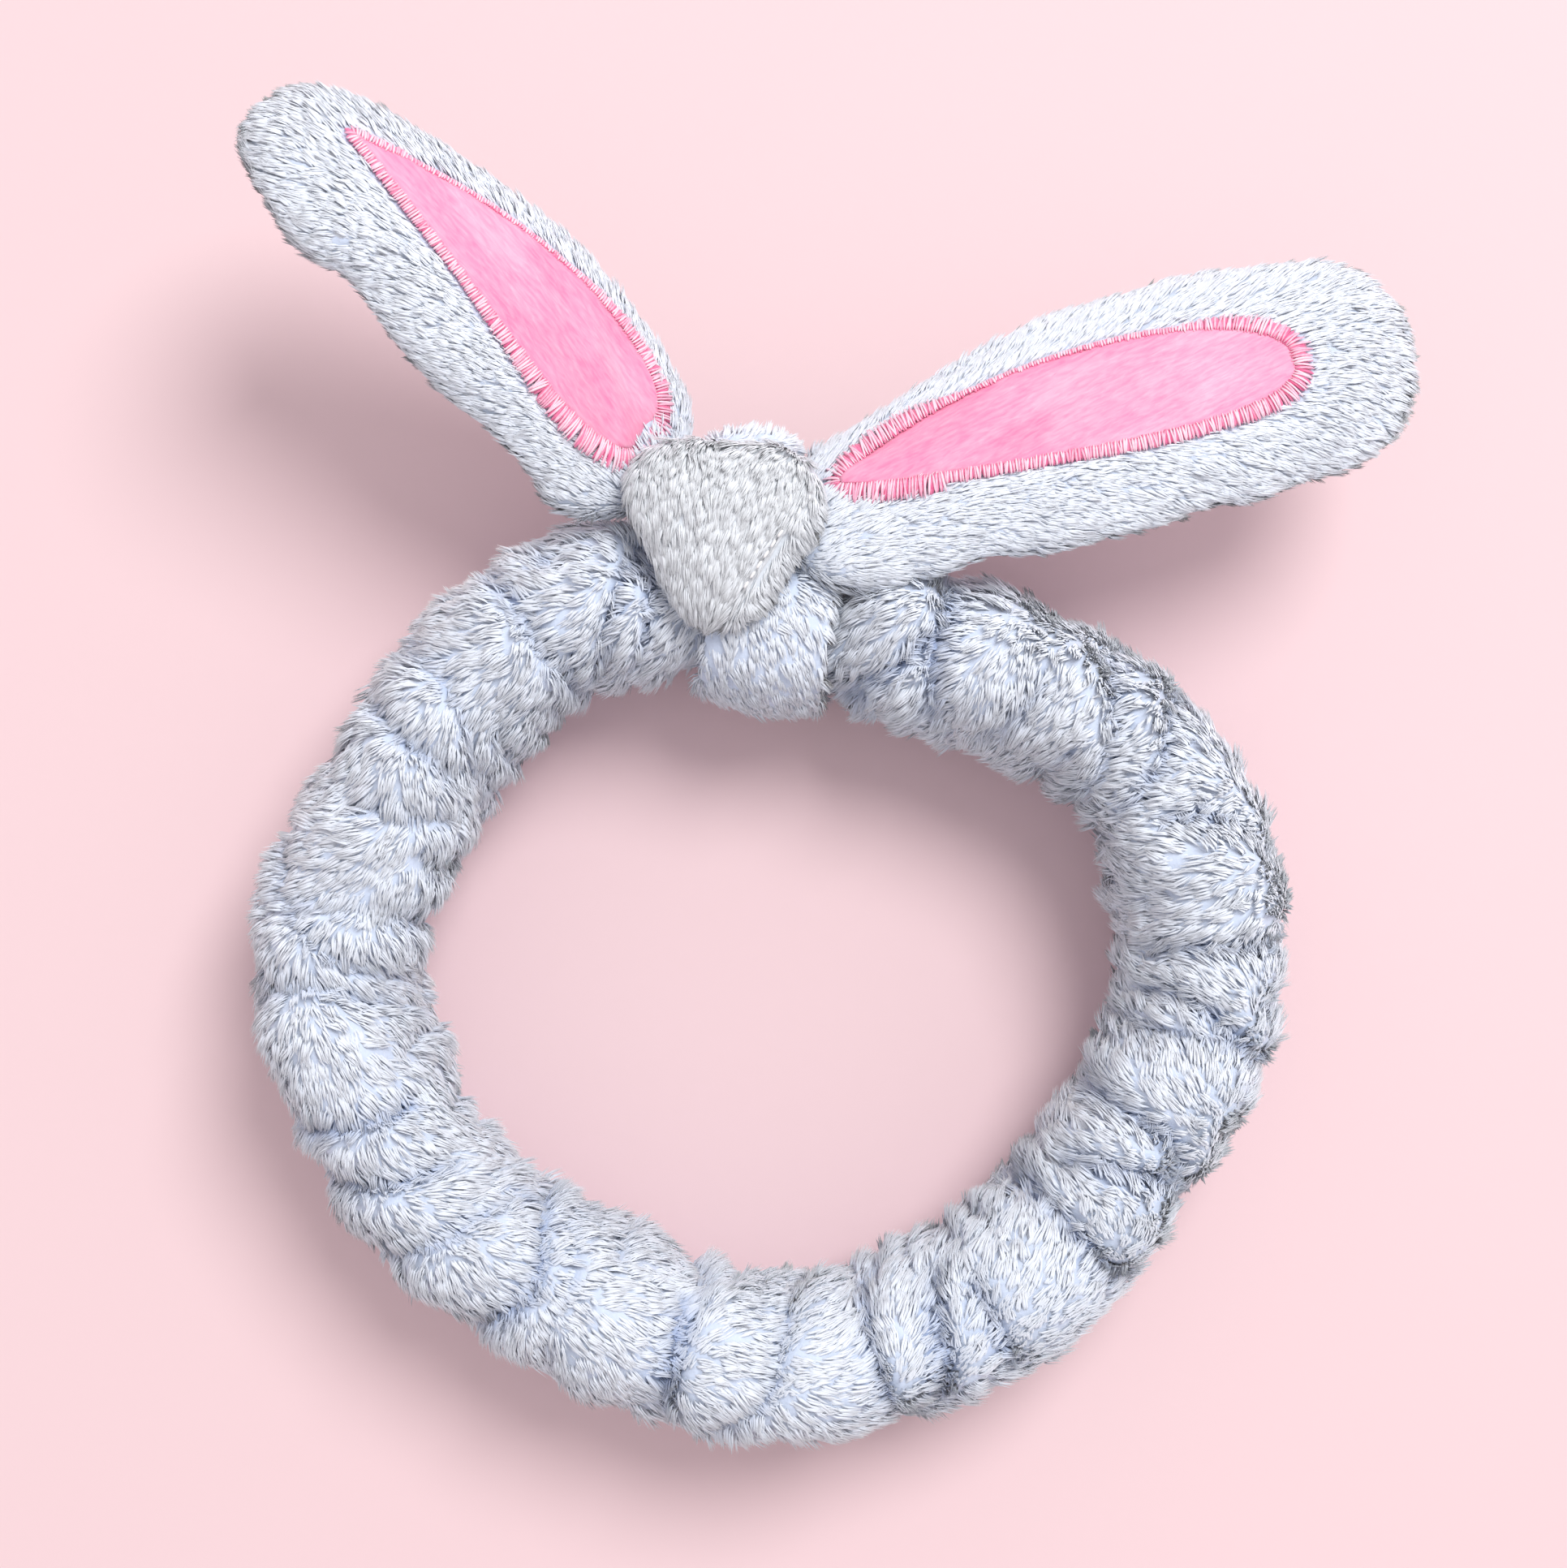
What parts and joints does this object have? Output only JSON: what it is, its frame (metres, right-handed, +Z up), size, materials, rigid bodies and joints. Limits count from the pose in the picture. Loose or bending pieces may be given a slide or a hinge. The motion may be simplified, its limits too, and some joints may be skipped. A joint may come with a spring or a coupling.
{
  "type": "animal ears headband",
  "caption": "Gathered plush headband on an elastic loop, with two padded rabbit ears that rise from a knot and carry satin inner ears.",
  "frame": {"origin": "centre of the head opening, on the surface that the band's lower edge stands on", "axes": "+Z up through the head opening, +Y from the opening towards the knot and the ears, +X to the right when seen from above"},
  "size_m": [0.2298, 0.2637, 0.0794],
  "materials": {
    "fleece": "long soft pile",
    "knot_fleece": "long soft pile, paler",
    "pink_satin": "short satin nap",
    "pink_thread": "satin stitch",
    "white_thread": "matte thread",
    "elastic": "woven elastic",
    "wadding": "loose polyester fibre"
  },
  "bodies": {
    "band": {"band_cover": "fleece", "band_cover_seam": "white_thread", "band_end_stitches": "white_thread", "elastic_band": "elastic", "elastic_lap_stitches": "white_thread", "knot_loop": "fleece", "knot_flap": "knot_fleece", "knot_back_strap": "fleece", "knot_hem_stitches": "white_thread", "knot_tack_stitches": "white_thread"},
    "left_neck": {"left_ear_neck": "fleece"},
    "left_ear": {"left_ear_front": "fleece", "left_ear_back": "fleece", "left_ear_wadding": "wadding", "left_ear_seam": "white_thread", "left_ear_satin": "pink_satin", "left_ear_satin_stitch": "pink_thread"},
    "right_neck": {"right_ear_neck": "fleece"},
    "right_ear": {"right_ear_front": "fleece", "right_ear_back": "fleece", "right_ear_wadding": "wadding", "right_ear_seam": "white_thread", "right_ear_satin": "pink_satin", "right_ear_satin_stitch": "pink_thread"}
  },
  "joints": [
    {"name": "left_ear_spread", "type": "hinge", "parent": "band", "child": "left_neck", "pos_m": [-0.0135, 0.098, 0.038], "axis": [0, 0, 1], "range_deg": [-12, 5], "stiffness_Nm_per_rad": 0.1},
    {"name": "left_ear_flop", "type": "hinge", "parent": "left_neck", "child": "left_ear", "pos_m": [-0.0305, 0.1105, 0.039], "axis": [0.5433, 0.745, -0.3871], "range_deg": [-30, 40], "stiffness_Nm_per_rad": 0.12, "springref_deg": 1.72},
    {"name": "right_ear_spread", "type": "hinge", "parent": "band", "child": "right_neck", "pos_m": [0.0006, 0.0965, 0.038], "axis": [0, 0, -1], "range_deg": [-12, 0], "stiffness_Nm_per_rad": 0.1},
    {"name": "right_ear_flop", "type": "hinge", "parent": "right_neck", "child": "right_ear", "pos_m": [0.018, 0.095, 0.04], "axis": [0.3604, -0.8682, 0.3412], "range_deg": [-10, 40], "stiffness_Nm_per_rad": 0.12, "springref_deg": 2.58}
  ]
}
